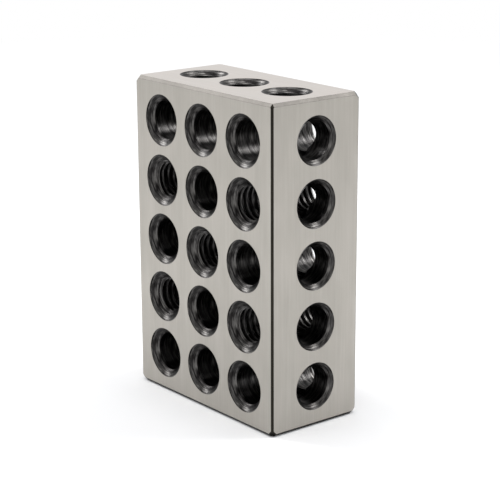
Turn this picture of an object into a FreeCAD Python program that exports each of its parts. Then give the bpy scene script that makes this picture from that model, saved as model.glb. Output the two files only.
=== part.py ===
"""A machinist's 1-2-3 setup block: one piece of ground steel, 1 by 2 by 3 inches, drilled through every face.

Frame: the block stands on one of its 1 by 2 inch ends. X runs along the 2 inch width, Y along the 1 inch
thickness and Z up the 3 inch height. The origin is the centre of the underside.

Three sets of through holes cross inside the block, all with their axes in its mid-planes:
  cross holes   along Y, a grid of columns by rows through the 2 by 3 inch faces
  side holes    along X, one for each row, through the 1 by 3 inch faces
  end holes     along Z, one for each column, through the 1 by 2 inch ends
Every mouth is countersunk. Some of the cross holes are drilled for a tap, and the rest are plain.
"""

import FreeCAD, Part
import itertools
import math
import os

from FreeCAD import Placement, Rotation, Vector

INCH = 25.4

# The ground block.
WIDTH = 2 * INCH
THICKNESS = 1 * INCH
HEIGHT = 3 * INCH

# The hole grid, centred on the block.
COLUMNS = 3
COLUMN_PITCH = 0.6 * INCH
ROWS = 5
ROW_PITCH = 9 / 16 * INCH

# Plain bores, and the tap drill for a 3/8-16 thread.
BORE_DIAMETER = 23 / 64 * INCH
TAP_DRILL_DIAMETER = 5 / 16 * INCH
TAPPED = {(-1, 1), (1, 1), (0, 0), (-1, -1), (1, -1)}  # (column, row), counted from the middle hole

# Countersinks: the mouth's diameter on each kind of face, and the cone's included angle.
COUNTERSINK_ANGLE = 90
CROSS_MOUTH = 12.1
SIDE_MOUTH = 11.2
END_MOUTH = 11.4

# Broken edges: how far each flat reaches from the sharp edge or corner, along the faces.
UPRIGHT_EDGE_LEG = 0.45
END_EDGE_LEG = 0.7
CORNER_LEG = 1.9

# Cutting tools run this far past the faces that they enter.
OVERRUN = 2.0
FLAT_CUTTER_SIDE = 2 * HEIGHT

CENTRE = Vector(0, 0, HEIGHT / 2)


def flat_cutter(signs, leg):
    """A cube whose near face cuts a flat on one edge (two signs) or one corner (three signs)."""
    outward = Vector(*signs)
    sharp = CENTRE + Vector(signs[0] * WIDTH / 2, signs[1] * THICKNESS / 2, signs[2] * HEIGHT / 2)
    faces_met = sum(abs(s) for s in signs)
    side = FLAT_CUTTER_SIDE
    cube = Part.makeBox(side, side, side, Vector(-side / 2, -side / 2, 0))
    cube.Placement = Placement(sharp - outward * (leg / faces_met), Rotation(Vector(0, 0, 1), outward))
    return cube


def flat_cutters():
    """The cutters for the twelve edges and the eight corners."""
    cutters = []
    for signs in itertools.product((-1, 0, 1), repeat=3):
        faces_met = sum(abs(s) for s in signs)
        if faces_met == 2:
            cutters.append(flat_cutter(signs, END_EDGE_LEG if signs[2] else UPRIGHT_EDGE_LEG))
        elif faces_met == 3:
            cutters.append(flat_cutter(signs, CORNER_LEG))
    return cutters


def hole_cutter(middle, direction, length, bore, mouth):
    """A bore with a countersink at each end, turned from its half section, along direction about middle."""
    slope = math.tan(math.radians(COUNTERSINK_ANGLE / 2))
    cone_depth = (mouth - bore) / 2 / slope
    past_radius = mouth / 2 + OVERRUN * slope
    half = length / 2
    section = [
        Vector(0, 0, -half - OVERRUN),
        Vector(past_radius, 0, -half - OVERRUN),
        Vector(bore / 2, 0, cone_depth - half),
        Vector(bore / 2, 0, half - cone_depth),
        Vector(past_radius, 0, half + OVERRUN),
        Vector(0, 0, half + OVERRUN),
    ]
    cutter = Part.Face(Part.makePolygon(section + section[:1])).revolve(Vector(), Vector(0, 0, 1), 360)
    cutter.Placement = Placement(middle, Rotation(Vector(0, 0, 1), direction))
    return cutter


def centred(count):
    """The places of a row of holes counted from its middle: -1, 0, 1 for three."""
    return [i - (count - 1) // 2 for i in range(count)]


def hole_cutters():
    """The cutters for the cross holes, the side holes and the end holes."""
    cutters = []
    for column, row in itertools.product(centred(COLUMNS), centred(ROWS)):
        middle = CENTRE + Vector(column * COLUMN_PITCH, 0, row * ROW_PITCH)
        bore = TAP_DRILL_DIAMETER if (column, row) in TAPPED else BORE_DIAMETER
        cutters.append(hole_cutter(middle, Vector(0, 1, 0), THICKNESS, bore, CROSS_MOUTH))
    for row in centred(ROWS):
        middle = CENTRE + Vector(0, 0, row * ROW_PITCH)
        cutters.append(hole_cutter(middle, Vector(1, 0, 0), WIDTH, BORE_DIAMETER, SIDE_MOUTH))
    for column in centred(COLUMNS):
        middle = CENTRE + Vector(column * COLUMN_PITCH, 0, 0)
        cutters.append(hole_cutter(middle, Vector(0, 0, 1), HEIGHT, BORE_DIAMETER, END_MOUTH))
    return cutters


def setup_block():
    """The finished block: a bar with its edges and corners broken, then drilled and countersunk."""
    bar = Part.makeBox(WIDTH, THICKNESS, HEIGHT, Vector(-WIDTH / 2, -THICKNESS / 2, 0))
    drilled = bar.cut(flat_cutters()).cut(hole_cutters()).removeSplitter()
    block = drilled.Solids[0]
    print("setup_block: solids", len(drilled.Solids), "valid", block.isValid(), "faces", len(block.Faces))
    print("setup_block: volume mm3", round(block.Volume, 1), "box", block.BoundBox)
    return block


os.makedirs("parts", exist_ok=True)
setup_block().exportStep("parts/setup_block.step")
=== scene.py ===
"""The finished look of a ground steel 1-2-3 setup block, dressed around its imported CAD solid.

The block is cut again in fine mesh: a bar with broken edges, drilled and countersunk with turned cutters,
and threaded with helical taps. So the mouths are round and the tapped holes have real thread.
Lengths are in millimetres until a mesh is made. Meshes, lamps and the floor are in metres.
"""

import math

import bmesh
import bpy
import numpy as np
from mathutils import Matrix, Vector


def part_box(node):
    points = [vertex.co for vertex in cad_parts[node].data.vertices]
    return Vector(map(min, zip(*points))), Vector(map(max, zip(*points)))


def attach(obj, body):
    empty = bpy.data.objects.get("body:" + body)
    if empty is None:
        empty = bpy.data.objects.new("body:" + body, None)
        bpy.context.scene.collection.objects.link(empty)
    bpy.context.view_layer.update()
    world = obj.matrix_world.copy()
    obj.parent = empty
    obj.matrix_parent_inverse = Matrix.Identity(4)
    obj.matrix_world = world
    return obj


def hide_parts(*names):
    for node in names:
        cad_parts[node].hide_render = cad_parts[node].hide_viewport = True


MM = 0.001

# ---------------------------------------------------------------- the block's sizes, from the frame
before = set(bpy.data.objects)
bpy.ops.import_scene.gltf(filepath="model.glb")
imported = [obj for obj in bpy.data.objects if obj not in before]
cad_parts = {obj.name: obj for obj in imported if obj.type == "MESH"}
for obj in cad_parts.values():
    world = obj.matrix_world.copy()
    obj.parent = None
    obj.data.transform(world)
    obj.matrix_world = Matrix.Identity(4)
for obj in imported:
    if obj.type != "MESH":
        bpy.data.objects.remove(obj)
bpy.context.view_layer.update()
block_low, block_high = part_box("setup_block")

HEIGHT = (block_high.z - block_low.z) / MM
INCH = HEIGHT / 3
HALF = np.array([1.0, 0.5, 1.5]) * INCH
CENTRE = np.array([0.0, 0.0, HALF[2]])

COLUMN_PITCH = 0.6 * INCH
ROW_PITCH = 9 / 16 * INCH
COLUMNS = (-1, 0, 1)
ROWS = (-2, -1, 0, 1, 2)
TAPPED = {(-1, 1), (1, 1), (0, 0), (-1, -1), (1, -1)}

BORE_RADIUS = 23 / 128 * INCH
TAP_DRILL_RADIUS = 5 / 32 * INCH

# Countersinks: the mouth's radius on each kind of face, the cone's slope from the face in degrees, and the
# small radius that rounds the lip, from the slope where it starts.
CROSS_MOUTH_RADIUS = 6.05
SIDE_MOUTH_RADIUS = 5.6
END_MOUTH_RADIUS = 5.7
CONE_SLOPE = 45
LIP_RADIUS = 0.22
LIP_START_SLOPE = 10
LIP_POINTS = 5

# Broken edges: how far each flat reaches from the sharp edge or corner, along the faces.
UPRIGHT_EDGE_LEG = 0.45
END_EDGE_LEG = 0.7
CORNER_LEG = 1.9
FRONT_TOP_CORNER_LEG = 1.3

# The rounding of every arris: how far it reaches, and its facets.
EDGE_SOFTNESS = 0.05
EDGE_STEPS = 2

# The 3/8-16 thread: its half angle in degrees, half of its flat crest in pitches, how far the tap's core
# stays inside the drilled wall, and the turn in radians that a column and a row add to where a thread starts.
THREAD_PITCH = INCH / 16
THREAD_MAJOR_RADIUS = 3 / 16 * INCH
THREAD_HALF_ANGLE = 30
THREAD_HALF_CREST = 1 / 16
TAP_CORE_INSET = 0.06
COLUMN_LEAD = 0.7
ROW_LEAD = 1.1

# Cutters run this far past the faces, are this much wider there than at the lip, and have these steps round.
OVERRUN = 1.2
SHANK_CLEARANCE = 0.02
TURN_STEPS = 96
THREAD_STEPS = 72
FULL_TURN = 2 * math.pi

# Angles in degrees: facets that meet flatter than the first are one face, and edges sharper than the second
# are shaded sharp.
FLAT_ANGLE = 1
SHARP_ANGLE = 9.5

# Slots of the block's mesh, in the order of FINISHES.
# The slot of the dark edges holds painted shade, and the slot of the ends holds painted light.
GROUND_SIDE, GROUND_END_PAINTED_LIGHT, PAINTED_SHADE_EDGE, BRIGHT_EDGE, COUNTERSINK, BORE, THREAD = range(7)


# ---------------------------------------------------------------- finishes
# The parts of a noise's range that are spread over 0 to 1, and how detailed the noises are.
LINE_RANGE = (0.36, 0.64)
PATCH_RANGE = (0.34, 0.66)
CLOUD_RANGE = (0.3, 0.7)
LINE_DETAIL = 2
CLOUD_DETAIL = 3


def link(tree, source, target):
    tree.links.new(source, target)


def node(tree, kind, **values):
    """A node of this kind, with its properties set."""
    made = tree.nodes.new(kind)
    for name, value in values.items():
        setattr(made, name, value)
    return made


def value_range(tree, source, low, high, to_low, to_high):
    """The source's range low to high, spread over to_low to to_high."""
    spread = node(tree, "ShaderNodeMapRange")
    link(tree, source, spread.inputs["Value"])
    for name, value in (("From Min", low), ("From Max", high), ("To Min", to_low), ("To Max", to_high)):
        spread.inputs[name].default_value = value
    return spread.outputs["Result"]


def stretched_noise(tree, place, stretch, detail):
    """Noise on a place whose three axes are first multiplied by stretch, per metre."""
    scaled = node(tree, "ShaderNodeVectorMath", operation="MULTIPLY")
    scaled.inputs[1].default_value = stretch
    link(tree, place, scaled.inputs[0])
    noise = node(tree, "ShaderNodeTexNoise")
    noise.inputs["Scale"].default_value = 1
    noise.inputs["Detail"].default_value = detail
    link(tree, scaled.outputs[0], noise.inputs["Vector"])
    return noise.outputs["Fac"]


def marks_group(name, fine, coarse, cloud):
    """A group that turns a place into two masks, each 0 to 1: tool lines and slow clouds.

    The lines are a fine noise times a coarse one, so that they come and go. Each of fine, coarse and cloud is
    how often that noise changes along x, y and z, per metre.
    """
    group = bpy.data.node_groups.new(name, "ShaderNodeTree")
    group.interface.new_socket("Place", in_out="INPUT", socket_type="NodeSocketVector")
    group.interface.new_socket("Lines", in_out="OUTPUT", socket_type="NodeSocketFloat")
    group.interface.new_socket("Clouds", in_out="OUTPUT", socket_type="NodeSocketFloat")
    enter = node(group, "NodeGroupInput")
    leave = node(group, "NodeGroupOutput")
    place = enter.outputs["Place"]
    sharp = value_range(group, stretched_noise(group, place, fine, LINE_DETAIL), *LINE_RANGE, 0, 1)
    broad = value_range(group, stretched_noise(group, place, coarse, LINE_DETAIL), *PATCH_RANGE, 0, 1)
    both = node(group, "ShaderNodeMath", operation="MULTIPLY")
    link(group, sharp, both.inputs[0])
    link(group, broad, both.inputs[1])
    link(group, both.outputs[0], leave.inputs["Lines"])
    clouds = value_range(group, stretched_noise(group, place, cloud, CLOUD_DETAIL), *CLOUD_RANGE, 0, 1)
    link(group, clouds, leave.inputs["Clouds"])
    return group


# Lines along z for the sides, along x for the ends, and round the axis for the holes, whose place is the
# attribute in_hole: two steps across the hole and the step along it.
UPRIGHT_GRIND = marks_group(
    "upright_grinding", fine=(5200, 5200, 70), coarse=(1500, 1500, 30), cloud=(170, 170, 70),
)
END_GRIND = marks_group(
    "end_grinding", fine=(70, 5200, 5200), coarse=(30, 1500, 1500), cloud=(110, 170, 170),
)
TURNED = marks_group(
    "turned_marks", fine=(260, 260, 7500), coarse=(330, 330, 1700), cloud=(420, 420, 420),
)


def finish(name, marks, place_name, low_colour, high_colour, cloud_colour, roughness, bump):
    """Steel lined by its tool, shaded by slow clouds.

    The colour runs from low_colour to high_colour on the lines, and the clouds multiply it by cloud_colour.
    Roughness is a pair, outside the clouds and in them, and the lines stand bump millimetres proud. The place
    is "object", or the name of an attribute.
    """
    material = bpy.data.materials.new(name)
    material.use_nodes = True
    tree = material.node_tree
    shader = tree.nodes["Principled BSDF"]
    shader.inputs["Metallic"].default_value = 1
    if place_name == "object":
        place = node(tree, "ShaderNodeTexCoord").outputs["Object"]
    else:
        place = node(tree, "ShaderNodeAttribute", attribute_name=place_name).outputs["Vector"]
    group = node(tree, "ShaderNodeGroup", node_tree=marks)
    link(tree, place, group.inputs["Place"])
    lined = node(tree, "ShaderNodeMix", data_type="RGBA")
    lined.inputs["A"].default_value = (*low_colour, 1)
    lined.inputs["B"].default_value = (*high_colour, 1)
    link(tree, group.outputs["Lines"], lined.inputs["Factor"])
    clouded = node(tree, "ShaderNodeMix", data_type="RGBA", blend_type="MULTIPLY")
    clouded.inputs["B"].default_value = (*cloud_colour, 1)
    link(tree, group.outputs["Clouds"], clouded.inputs["Factor"])
    link(tree, lined.outputs["Result"], clouded.inputs["A"])
    link(tree, clouded.outputs["Result"], shader.inputs["Base Color"])
    link(tree, value_range(tree, group.outputs["Clouds"], 0, 1, *roughness), shader.inputs["Roughness"])
    relief = node(tree, "ShaderNodeBump")
    relief.inputs["Strength"].default_value = 1
    relief.inputs["Distance"].default_value = bump * MM
    link(tree, group.outputs["Lines"], relief.inputs["Height"])
    link(tree, relief.outputs["Normal"], shader.inputs["Normal"])
    return material


# In the order of the slots.
FINISHES = [
    finish(
        "ground_side", UPRIGHT_GRIND, "object",
        low_colour=(0.425, 0.402, 0.366), high_colour=(0.465, 0.443, 0.408),
        cloud_colour=(0.93, 0.935, 0.93), roughness=(0.40, 0.46), bump=0.0006,
    ),
    # Painted light: the top and base are the sides' ground steel, given a much lighter colour so that the top
    # renders bright; the grinding along x is real.
    finish(
        "ground_end_painted_light", END_GRIND, "object",
        low_colour=(0.690, 0.650, 0.612), high_colour=(0.740, 0.700, 0.662),
        cloud_colour=(0.96, 0.95, 0.95), roughness=(0.36, 0.42), bump=0.0006,
    ),
    # Painted shade: a near-black steel colour for the edge flats that face sideways or down, standing in for
    # the dark reflections on them.
    finish(
        "painted_shade_edge", UPRIGHT_GRIND, "object",
        low_colour=(0.022, 0.020, 0.016), high_colour=(0.032, 0.029, 0.024),
        cloud_colour=(0.80, 0.80, 0.80), roughness=(0.30, 0.38), bump=0.0006,
    ),
    finish(
        "bright_edge", UPRIGHT_GRIND, "object",
        low_colour=(0.235, 0.222, 0.205), high_colour=(0.265, 0.250, 0.232),
        cloud_colour=(0.90, 0.90, 0.90), roughness=(0.60, 0.66), bump=0.0006,
    ),
    # Painted shade: the near-black low colour of the countersinks stands in for the shade and dark
    # reflections in the holes; the lighter lines are turned tool marks.
    finish(
        "countersink", TURNED, "in_hole",
        low_colour=(0.010, 0.009, 0.009), high_colour=(0.200, 0.193, 0.184),
        cloud_colour=(0.60, 0.60, 0.62), roughness=(0.28, 0.36), bump=0.018,
    ),
    # Painted shade: the near-black low colour of the bores stands in for the shade and dark reflections in
    # them; the lighter lines are turned tool marks.
    finish(
        "bore", TURNED, "in_hole",
        low_colour=(0.014, 0.013, 0.013), high_colour=(0.240, 0.232, 0.222),
        cloud_colour=(0.60, 0.60, 0.62), roughness=(0.28, 0.38), bump=0.014,
    ),
    # Painted shade: the near-black low colour of the threads stands in for the shade and dark reflections in
    # them; the lighter lines are turned tool marks.
    finish(
        "thread", TURNED, "in_hole",
        low_colour=(0.016, 0.015, 0.015), high_colour=(0.220, 0.213, 0.205),
        cloud_colour=(0.65, 0.65, 0.66), roughness=(0.26, 0.34), bump=0.006,
    ),
]


# ---------------------------------------------------------------- meshes worked out with numpy
def in_scene(mesh):
    """An object of this mesh and name, at the origin, with every finish in its slots."""
    for slot_finish in FINISHES:
        mesh.materials.append(slot_finish)
    item = bpy.data.objects.new(mesh.name, mesh)
    bpy.context.scene.collection.objects.link(item)
    return item


def new_cutter(name, points, faces, slots):
    """A cutter from points in millimetres, lists of face corners, and a slot for each face."""
    mesh = bpy.data.meshes.new(name)
    mesh.from_pydata((points * MM).tolist(), [], faces)
    mesh.polygons.foreach_set("material_index", np.asarray(slots, np.int32))
    mesh.update()
    return in_scene(mesh)


def corner_points():
    """The corners of the bar: at each sharp corner, six points where its flats meet the faces.

    With u, t and v the legs of the upright edges, the end edges and the corner, the points lie at these
    distances in from the sharp corner along x, y and z: two on each of the three faces. A corner leg below
    twice the end edge's leg leaves one point, not two, on the end face.
    """
    signs = np.array(np.meshgrid([-1, 1], [-1, 1], [-1, 1])).reshape(3, -1).T
    points = []
    for sign in signs:
        u, t = UPRIGHT_EDGE_LEG, END_EDGE_LEG
        v = FRONT_TOP_CORNER_LEG if tuple(sign) == (1, -1, 1) else CORNER_LEG
        w = max(v - t, t)
        inward = np.array([
            [t, w, 0], [w, t, 0], [v - t, 0, t], [u, 0, v - u], [0, u, v - u], [0, v - t, t],
        ])
        points.append(CENTRE + sign * (HALF - inward))
    return np.vstack(points)


def make_bar():
    """The bar: the hull of corner_points, with its edges and corners broken flat and every arris rounded.

    Upright edges and corners face along both x and y, and the edges of the base face down: these get a
    near-black colour, painted shade and painted dark reflection. The edges of the top keep a plain steel
    colour.
    """
    ground, both_ways, downwards = 0.999, 0.3, -0.1
    mesh = bpy.data.meshes.new("setup_block_finish")
    mesh.from_pydata((corner_points() * MM).tolist(), [], [])
    bm = bmesh.new()
    bm.from_mesh(mesh)
    bmesh.ops.convex_hull(bm, input=bm.verts)
    bmesh.ops.dissolve_limit(bm, angle_limit=math.radians(FLAT_ANGLE), verts=bm.verts, edges=bm.edges)
    bmesh.ops.bevel(
        bm, geom=bm.edges[:], offset=EDGE_SOFTNESS * MM, offset_type="OFFSET", segments=EDGE_STEPS,
        profile=0.5, affect="EDGES", clamp_overlap=True,
    )
    bmesh.ops.recalc_face_normals(bm, faces=bm.faces)
    for face in bm.faces:
        x, y, z = (abs(v) for v in face.normal)
        if max(x, y, z) > ground:
            # Faces along z take the end finish, whose lighter colour is painted light.
            face.material_index = GROUND_END_PAINTED_LIGHT if z > ground else GROUND_SIDE
        else:
            # Edge flats that face sideways both ways or down get the painted shade finish.
            painted_shade = min(x, y) > both_ways or face.normal.z < downwards
            face.material_index = PAINTED_SHADE_EDGE if painted_shade else BRIGHT_EDGE
    bm.to_mesh(mesh)
    bm.free()
    return in_scene(mesh)


def lipped_profile(half, mouth, bore):
    """Radius and height of one end of a cutter, from its pole outside the face to the foot of the cone.

    The cone runs in at 45 degrees from radius mouth at the face, so its foot is mouth - bore inside the face.
    The lip is an arc that is tangent to the face and to the cone.
    """
    tangent = LIP_RADIUS * math.tan(math.radians(CONE_SLOPE / 2))
    turn = np.radians(np.linspace(LIP_START_SLOPE, CONE_SLOPE, LIP_POINTS))
    radius = mouth + tangent - LIP_RADIUS * np.sin(turn)
    height = -half + LIP_RADIUS * (1 - np.cos(turn))
    outside = np.array([[0, -half - OVERRUN], [radius[0] + SHANK_CLEARANCE, -half - OVERRUN]])
    arc = np.stack([radius, height], 1)
    foot = np.array([[bore, -half + mouth - bore]])
    return np.vstack([outside, arc, foot])


def turned_cutter(name, middle, axis, half, mouth, bore):
    """A countersunk drill: lipped_profile, mirrored about its middle and turned about the axis.

    Point (i, j) is (r_j cos a_i, r_j sin a_i, h_j) with a_i the i-th of the equal steps round the axis.
    """
    end = lipped_profile(half, mouth, bore)
    profile = np.vstack([end, end[::-1] * [1, -1]])
    angle = np.arange(TURN_STEPS) * FULL_TURN / TURN_STEPS
    rings = profile[1:-1]
    ring_points = np.stack([
        rings[None, :, 0] * np.cos(angle)[:, None],
        rings[None, :, 0] * np.sin(angle)[:, None],
        np.broadcast_to(rings[None, :, 1], (TURN_STEPS, len(rings))),
    ], -1).reshape(-1, 3)
    points = np.vstack([ring_points, [[0, 0, profile[0, 1]], [0, 0, profile[-1, 1]]]])
    here = np.arange(TURN_STEPS)
    then = (here + 1) % TURN_STEPS
    count = len(rings)
    low_pole, high_pole = TURN_STEPS * count, TURN_STEPS * count + 1
    faces, slots = [], []
    for j in range(count - 1):
        quads = np.stack([here * count + j, then * count + j, then * count + j + 1, here * count + j + 1], 1)
        faces += quads.tolist()
        straight = np.allclose(rings[j : j + 2, 0], bore)
        slots += [BORE if straight else COUNTERSINK] * TURN_STEPS
    faces += np.stack([then * count, here * count, np.full_like(here, low_pole)], 1).tolist()
    top = count - 1
    faces += np.stack([here * count + top, then * count + top, np.full_like(here, high_pole)], 1).tolist()
    slots += [COUNTERSINK] * (2 * TURN_STEPS)
    return new_cutter(name, placed(points, middle, axis), faces, slots)


def placed(points, middle, axis):
    """Points turned so that their z runs along the x, y or z axis (0, 1 or 2), and moved to middle."""
    order = {0: [2, 0, 1], 1: [1, 2, 0], 2: [0, 1, 2]}[axis]
    return points[:, order] + middle


def tap_cutter(name, middle, axis, half, lead):
    """A tap: a ridge of the 60 degree thread form, wound right-handed round a core that starts at angle lead.

    Point (i, r) is at angle a_i and at height pitch * (a_i / 2 pi + the profile's height of row r), so the
    rows run along the helix, and the column after the last is the first column one turn higher.
    """
    core = TAP_DRILL_RADIUS - TAP_CORE_INSET
    flank = (THREAD_MAJOR_RADIUS - core) * math.tan(math.radians(THREAD_HALF_ANGLE)) / THREAD_PITCH
    crest = THREAD_HALF_CREST
    heights = np.array([0.5 - crest - flank, 0.5 - crest, 0.5 + crest, 0.5 + crest + flank])
    radii = np.array([core, THREAD_MAJOR_RADIUS, THREAD_MAJOR_RADIUS, core])
    a_turn = len(heights)
    turns = int(2 * (half + OVERRUN) / THREAD_PITCH) + 1
    last = turns * a_turn
    row = np.arange(last + 1)
    angle = np.arange(THREAD_STEPS) * FULL_TURN / THREAD_STEPS
    height = heights[row % a_turn] + row // a_turn - turns / 2 - 0.5
    z = THREAD_PITCH * (height[None] + angle[:, None] / FULL_TURN)
    radius = np.broadcast_to(radii[row % a_turn][None], z.shape)
    turned = angle[:, None] + lead
    ridge = np.stack([radius * np.cos(turned), radius * np.sin(turned), z], -1).reshape(-1, 3)
    points = np.vstack([ridge, [[0, 0, z.min()], [0, 0, z.max()]]])

    def index(i, r):
        """The number of point (i, r), where a column past the last is the first one a turn higher."""
        wraps = i // THREAD_STEPS
        return (i - wraps * THREAD_STEPS) * (last + 1) + r + wraps * a_turn

    columns, steps = np.meshgrid(np.arange(THREAD_STEPS), np.arange(last), indexing="ij")
    joined = (columns < THREAD_STEPS - 1) | (steps + a_turn < last)
    i, r = columns[joined], steps[joined]
    faces = np.stack([index(i, r), index(i + 1, r), index(i + 1, r + 1), index(i, r + 1)], 1).tolist()
    low_rim = [index(k, 0) for k in range(THREAD_STEPS)] + list(range(a_turn, 0, -1))
    high_rim = [index(k, last) for k in range(THREAD_STEPS)]
    high_rim += [index(THREAD_STEPS - 1, last - k) for k in range(1, a_turn + 1)]
    faces += fan(low_rim[::-1], len(points) - 2) + fan(high_rim, len(points) - 1)
    return new_cutter(name, placed(points, middle, axis), faces, [THREAD] * len(faces))


def fan(rim, pole):
    """Triangles from a closed rim of points to a pole."""
    return [[a, b, pole] for a, b in zip(rim, rim[1:] + rim[:1])]


def all_cutters():
    """The cutters of the cross holes, the side holes and the end holes, and the taps."""
    cutters = []
    for column in COLUMNS:
        for row in ROWS:
            middle = CENTRE + [column * COLUMN_PITCH, 0, row * ROW_PITCH]
            tapped = (column, row) in TAPPED
            bore = TAP_DRILL_RADIUS if tapped else BORE_RADIUS
            cutters.append(turned_cutter("drill", middle, 1, HALF[1], CROSS_MOUTH_RADIUS, bore))
            if tapped:
                lead = COLUMN_LEAD * column + ROW_LEAD * row
                cutters.append(tap_cutter("tap", middle, 1, HALF[1], lead))
    for row in ROWS:
        middle = CENTRE + [0, 0, row * ROW_PITCH]
        cutters.append(turned_cutter("drill", middle, 0, HALF[0], SIDE_MOUTH_RADIUS, BORE_RADIUS))
    for column in COLUMNS:
        middle = CENTRE + [column * COLUMN_PITCH, 0, 0]
        cutters.append(turned_cutter("drill", middle, 2, HALF[2], END_MOUTH_RADIUS, BORE_RADIUS))
    return cutters


def cut(item, cutters):
    """Take every cutter out of the item's mesh, and remove the cutters."""
    drills = bpy.data.collections.new("cutters")
    for cutter in cutters:
        bpy.context.scene.collection.objects.unlink(cutter)
        drills.objects.link(cutter)
    bpy.context.scene.collection.children.link(drills)
    modifier = item.modifiers.new("cut", "BOOLEAN")
    modifier.operation = "DIFFERENCE"
    modifier.solver = "MANIFOLD"
    modifier.operand_type = "COLLECTION"
    modifier.collection = drills
    mesh = bpy.data.meshes.new_from_object(item.evaluated_get(bpy.context.evaluated_depsgraph_get()))
    item.modifiers.clear()
    item.data = mesh
    item.data.name = item.name
    for cutter in cutters:
        bpy.data.objects.remove(cutter)
    bpy.data.collections.remove(drills)


def nearest(values, places):
    """For each value, the closest of the places."""
    places = np.asarray(places)
    return places[np.abs(values[..., None] - places).argmin(-1)]


def place_in_holes(mesh):
    """Write in_hole at each face corner: two steps across its hole's axis and the step along it, in metres.

    A face belongs to the set of holes, along x, y or z, whose nearest axis it faces best: its normal and
    the line from the axis to its middle point in opposite directions across the hole. Each millimetre
    between that line's length and a usual wall's radius counts against the set.
    """
    wall_radius, off_wall_cost, shortest = 5, 0.2, 1e-6
    count = len(mesh.polygons)
    middle = np.empty(count * 3)
    normal = np.empty(count * 3)
    corners = np.empty(count, np.int32)
    mesh.polygons.foreach_get("center", middle)
    mesh.polygons.foreach_get("normal", normal)
    mesh.polygons.foreach_get("loop_total", corners)
    middle = middle.reshape(-1, 3) / MM
    normal = normal.reshape(-1, 3)
    columns = [c * COLUMN_PITCH for c in COLUMNS]
    rows = [CENTRE[2] + r * ROW_PITCH for r in ROWS]
    zero = np.zeros(count)
    x_column = nearest(middle[:, 0], columns)
    z_row = nearest(middle[:, 2], rows)
    axes = [
        np.stack([zero, zero, z_row], 1),
        np.stack([x_column, zero, z_row], 1),
        np.stack([x_column, zero, zero], 1),
    ]
    facing = []
    for axis, origin in enumerate(axes):
        across = middle - origin
        across[:, axis] = 0
        length = np.linalg.norm(across, axis=1)
        flat = normal.copy()
        flat[:, axis] = 0
        towards_axis = -(across * flat).sum(1) / np.maximum(length, shortest)
        facing.append(towards_axis - off_wall_cost * np.abs(length - wall_radius))
    best = np.argmax(facing, 0)
    origin = np.choose(best[:, None], axes)
    vertex = np.empty(len(mesh.loops), np.int32)
    mesh.loops.foreach_get("vertex_index", vertex)
    point = np.empty(len(mesh.vertices) * 3)
    mesh.vertices.foreach_get("co", point)
    step = point.reshape(-1, 3)[vertex] - np.repeat(origin, corners, 0) * MM
    across_then_along = np.array([[1, 2, 0], [0, 2, 1], [0, 1, 2]])
    order = across_then_along[np.repeat(best, corners)]
    attribute = mesh.attributes.new("in_hole", "FLOAT_VECTOR", "CORNER")
    attribute.data.foreach_set("vector", np.take_along_axis(step, order, 1).astype(np.float32).ravel())


# ---------------------------------------------------------------- the block
block = make_bar()
cut(block, all_cutters())
place_in_holes(block.data)
block.data.shade_smooth()
block.data.set_sharp_from_angle(angle=math.radians(SHARP_ANGLE))

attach(block, "root")
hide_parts("setup_block")


# ---------------------------------------------------------------- the floor and the room
FLOOR_REACH = 3
FADE_START, FADE_END = 0.16, 0.60


def background_rays(tree):
    """1 for a ray of the camera or one that has only met gloss or glass, and 0 for one that lights things."""
    ray = node(tree, "ShaderNodeLightPath")
    share = ray.outputs["Is Camera Ray"]
    for kind in ("Is Glossy Ray", "Is Transmission Ray"):
        either = node(tree, "ShaderNodeMath", operation="MAXIMUM")
        link(tree, share, either.inputs[0])
        link(tree, ray.outputs[kind], either.inputs[1])
        share = either.outputs[0]
    return share


def pale_floor():
    """A pale floor that keeps the block's shadow, and away from the block turns into the white background."""
    material = bpy.data.materials.new("floor")
    material.use_nodes = True
    tree = material.node_tree
    shader = tree.nodes["Principled BSDF"]
    shader.inputs["Base Color"].default_value = (0.88, 0.88, 0.88, 1)
    shader.inputs["Roughness"].default_value = 0.9
    shader.inputs["Specular IOR Level"].default_value = 0.1
    distance = node(tree, "ShaderNodeVectorMath", operation="LENGTH")
    link(tree, node(tree, "ShaderNodeTexCoord").outputs["Object"], distance.inputs[0])
    far = value_range(tree, distance.outputs["Value"], FADE_START, FADE_END, 0, 1)
    share = node(tree, "ShaderNodeMath", operation="MULTIPLY")
    link(tree, far, share.inputs[0])
    link(tree, background_rays(tree), share.inputs[1])
    background = node(tree, "ShaderNodeEmission")
    background.inputs["Strength"].default_value = 1
    blend = node(tree, "ShaderNodeMixShader")
    link(tree, share.outputs[0], blend.inputs[0])
    link(tree, shader.outputs[0], blend.inputs[1])
    link(tree, background.outputs[0], blend.inputs[2])
    link(tree, blend.outputs[0], tree.nodes["Material Output"].inputs["Surface"])
    return material


floor_mesh = bpy.data.meshes.new("floor")
floor_corners = [(FLOOR_REACH * x, FLOOR_REACH * y, 0) for x, y in ((-1, -1), (1, -1), (1, 1), (-1, 1))]
floor_mesh.from_pydata(floor_corners, [], [(0, 1, 2, 3)])
floor_mesh.materials.append(pale_floor())
floor = bpy.data.objects.new("floor", floor_mesh)
bpy.context.scene.collection.objects.link(floor)


LAMP_TARGET = Vector((0, 0, 0.04))


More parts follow.
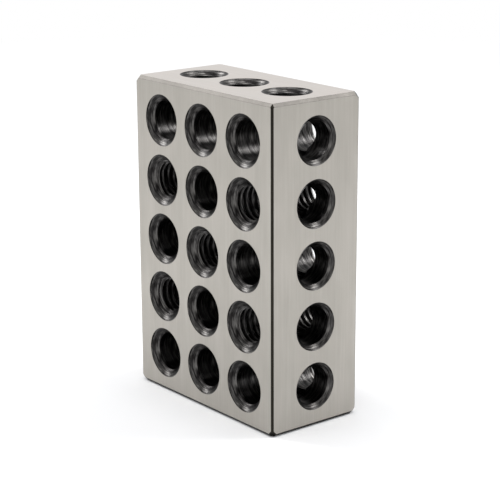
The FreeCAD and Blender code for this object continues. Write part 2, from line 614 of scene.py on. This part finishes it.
def lamp(name, place, size, power):
    """A square area lamp at place, facing the block."""
    data = bpy.data.lights.new(name, "AREA")
    data.energy = power
    data.size = size
    item = bpy.data.objects.new(name, data)
    item.location = place
    item.rotation_euler = (LAMP_TARGET - Vector(place)).to_track_quat("-Z", "Y").to_euler()
    bpy.context.scene.collection.objects.link(item)


lamp("left", place=(-0.70, -0.25, 0.60), size=0.36, power=4.6)
lamp("back", place=(0.28, 0.55, 0.72), size=0.36, power=3.9)
lamp("over", place=(0.02, -0.05, 0.95), size=0.40, power=3.0)

world = bpy.data.worlds.new("room")
bpy.context.scene.world = world
world.use_nodes = True
room = world.node_tree
room.nodes.clear()
soft_light = node(room, "ShaderNodeBackground")
soft_light.inputs["Color"].default_value = (0.96, 0.97, 1, 1)
soft_light.inputs["Strength"].default_value = 0.6
backdrop = node(room, "ShaderNodeBackground")
backdrop.inputs["Strength"].default_value = 1
blend = node(room, "ShaderNodeMixShader")
link(room, background_rays(room), blend.inputs[0])
link(room, soft_light.outputs[0], blend.inputs[1])
link(room, backdrop.outputs[0], blend.inputs[2])
link(room, blend.outputs[0], node(room, "ShaderNodeOutputWorld").inputs[0])


# ---------------------------------------------------------------- the camera
# Its direction is an azimuth from -y towards +x and an elevation; distance and target are in millimetres.
AZIMUTH = math.radians(51.36)
ELEVATION = math.radians(15.62)
ROLL = math.radians(-0.25)
DISTANCE = 385.6
TARGET = Vector((1.80, 0, 36.74))

level = math.cos(ELEVATION)
back = Vector((math.sin(AZIMUTH) * level, -math.cos(AZIMUTH) * level, math.sin(ELEVATION)))
right = (-back).cross(Vector((0, 0, 1))).normalized()
up = right.cross(-back)
turned_right = right * math.cos(ROLL) + up * math.sin(ROLL)
turned_up = up * math.cos(ROLL) - right * math.sin(ROLL)
camera_data = bpy.data.cameras.new("camera")
camera_data.sensor_width = 36
camera_data.lens = 118.27
camera_data.clip_start = 0.01
camera_data.clip_end = 20
camera = bpy.data.objects.new("camera", camera_data)
turn = Matrix((turned_right, turned_up, back)).transposed().to_4x4()
camera.matrix_world = Matrix.Translation((TARGET + back * DISTANCE) * MM) @ turn
bpy.context.scene.collection.objects.link(camera)
bpy.context.scene.camera = camera

bpy.context.scene.view_settings.view_transform = "Standard"
